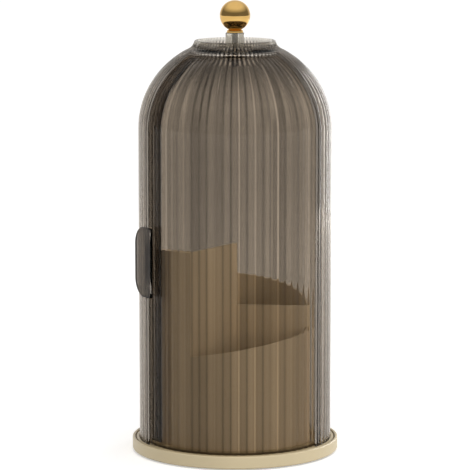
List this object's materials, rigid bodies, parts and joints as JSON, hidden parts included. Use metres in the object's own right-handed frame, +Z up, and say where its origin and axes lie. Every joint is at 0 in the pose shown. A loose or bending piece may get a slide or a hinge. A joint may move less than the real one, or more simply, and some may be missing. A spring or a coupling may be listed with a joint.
{
  "type": "rotating makeup brush holder",
  "caption": "Round brush holder: tiered cup on a ball-bearing turntable under a ribbed smoky dome with a sliding front door and a ball knob on top.",
  "frame": {"origin": "middle of the flat face the holder stands on, on the turntable's axis", "axes": "+Z up along the turntable's axis, -Y towards the front where the door is, +X to the viewer's right"},
  "size_m": [0.15, 0.15, 0.3283],
  "materials": {
    "cream_plastic": "satin moulded ABS, warm cream",
    "smoke_clear": "clear moulded PS, smoky grey-brown, polished",
    "clear_acrylic": "clear acrylic, polished",
    "gold_plate": "polished gold plating",
    "white_nylon": "natural nylon",
    "steel": "zinc-plated steel",
    "soft_pad": "matt soft rubber"
  },
  "bodies": {
    "base": {"base_tray": "cream_plastic", "foot_pads": "soft_pad", "pivot_bush": "white_nylon"},
    "cage": {"ball_cage": "white_nylon", "bearing_balls": "steel"},
    "turntable": {"turntable_disc": "cream_plastic", "pivot_washer": "steel", "pivot_screw": "steel", "brush_cup": "cream_plastic", "cup_screws": "steel"},
    "cover": {"rear_cover": "smoke_clear", "knob_ball": "gold_plate", "knob_collar": "clear_acrylic", "knob_stud": "steel", "thrust_washer": "white_nylon", "hub_bush": "white_nylon", "clamp_washer": "steel", "lock_nut": "steel"},
    "door": {"door_panel": "smoke_clear", "door_strip": "smoke_clear", "finger_tab": "smoke_clear"}
  },
  "joints": [
    {"name": "turntable_spin", "type": "hinge", "parent": "base", "child": "turntable", "pos_m": [0, 0, 0.0047], "axis": [0, 0, 1], "continuous": true},
    {"name": "cage_roll", "type": "hinge", "parent": "base", "child": "cage", "pos_m": [0, 0, 0.0047], "axis": [0, 0, 1], "continuous": true},
    {"name": "cover_lift", "type": "slide", "parent": "turntable", "child": "cover", "axis": [0, 0, 1], "range_m": [0, 0.17]},
    {"name": "door_turn", "type": "hinge", "parent": "cover", "child": "door", "pos_m": [0, 0, 0.2897], "axis": [0, 0, 1], "range_deg": [0, 118]}
  ],
  "couplings": [
    {"joint": "cage_roll", "follows": "turntable_spin", "ratio": 0.5}
  ]
}
